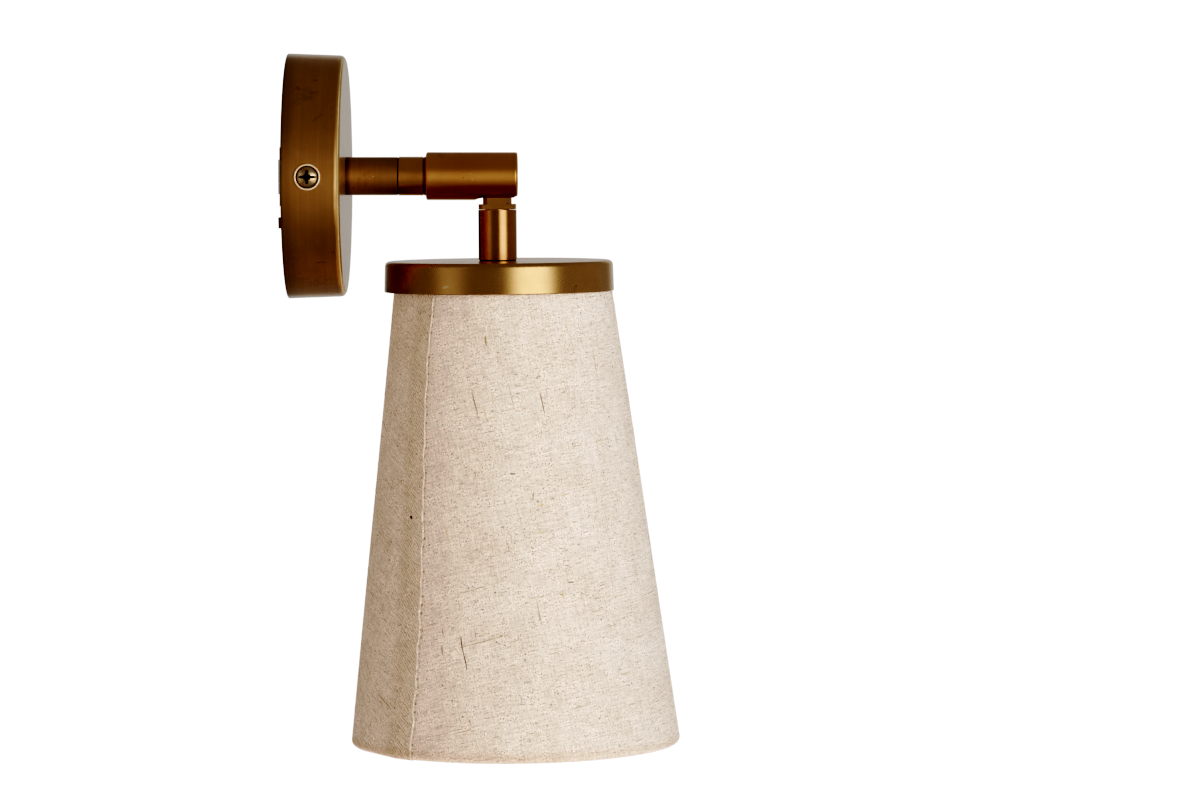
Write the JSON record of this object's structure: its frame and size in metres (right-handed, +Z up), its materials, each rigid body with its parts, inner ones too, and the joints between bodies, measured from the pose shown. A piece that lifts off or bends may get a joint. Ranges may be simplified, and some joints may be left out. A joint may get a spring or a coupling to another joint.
{
  "type": "fabric shade wall light",
  "caption": "Wall light with a round brass wall cup, short arm, tilting and swivelling knuckle, brass lid and a tapered linen shade hanging down over a small screw-cap bulb.",
  "frame": {"origin": "wall plane at the middle of the wall cup, which is also the centre of the bracket's two wall slots", "axes": "+X out of the wall along the arm, +Z up, +Y to the right as seen by someone facing the wall light"},
  "size_m": [0.1642, 0.1374, 0.2888],
  "materials": {
    "zinc_steel": "zinc-plated pressed steel",
    "aged_brass": "aged lacquered brass, satin, faint lathe lines",
    "bright_brass": "plain turned brass",
    "steel_screw": "plated steel screw",
    "bulb_metal": "nickel-plated screw cap",
    "terminal_plastic": "moulded white nylon",
    "nylon_black": "black nylon",
    "pvc_brown": "brown lead insulation",
    "pvc_blue": "blue lead insulation",
    "pvc_earth": "green and yellow lead insulation",
    "black_plastic": "black moulded thermoset",
    "ceramic_white": "white moulded holder body",
    "wire_frame": "white-coated steel wire",
    "linen": "natural slubby linen, plain weave",
    "liner": "white stiffening film",
    "opal_glass": "opal bulb glass"
  },
  "bodies": {
    "wall_plate": {"mounting_bracket": "zinc_steel", "backplate_cup": "aged_brass", "backplate_screws": "bright_brass", "earth_screw": "steel_screw", "earth_washer": "steel_screw", "earth_ring_tag": "bulb_metal", "terminal_block": "terminal_plastic", "terminal_tubes": "bright_brass", "terminal_screws": "steel_screw", "terminal_fixing_screws": "steel_screw", "arm_tube": "aged_brass", "arm_nipple": "steel_screw", "arm_locknut": "steel_screw", "arm_star_washer": "steel_screw", "swivel_washer": "nylon_black", "swivel_nut": "bright_brass", "swivel_spring_washer": "steel_screw", "lead_live_arm": "pvc_brown", "lead_neutral_arm": "pvc_blue", "lead_earth": "pvc_earth"},
    "knuckle": {"knuckle_neck": "aged_brass", "knuckle_fork": "bright_brass", "knuckle_sleeve": "aged_brass", "pivot_screws": "steel_screw", "lead_live_knuckle": "pvc_brown", "lead_neutral_knuckle": "pvc_blue"},
    "head": {"knuckle_tongue": "aged_brass", "friction_washers": "nylon_black", "stem_tube": "aged_brass", "stem_gasket": "nylon_black", "stem_nipple": "steel_screw", "lid": "aged_brass", "lid_washer": "steel_screw", "lid_locknut": "steel_screw", "lampholder_cap": "black_plastic", "lampholder_insert": "ceramic_white", "lampholder_skirt": "black_plastic", "lampholder_carrier": "ceramic_white", "lampholder_shell": "bright_brass", "lampholder_contact": "bright_brass", "lampholder_terminal_screws": "steel_screw", "shade_rings": "black_plastic", "shade_top_frame": "wire_frame", "shade_bottom_ring": "wire_frame", "shade_fabric": "linen", "shade_edge_top": "linen", "shade_edge_bottom": "linen", "shade_liner": "liner", "bulb_glass": "opal_glass", "bulb_cap": "bulb_metal", "bulb_contact": "bulb_metal", "lead_live_head": "pvc_brown", "lead_neutral_head": "pvc_blue"}
  },
  "joints": [
    {"name": "arm_swivel", "type": "hinge", "parent": "wall_plate", "child": "knuckle", "pos_m": [0.047, 0, 0], "axis": [1, 0, 0], "range_deg": [-90, 90]},
    {"name": "head_tilt", "type": "hinge", "parent": "knuckle", "child": "head", "pos_m": [0.0879, 0, 0], "axis": [0, -1, 0], "range_deg": [-5, 89.5]}
  ]
}
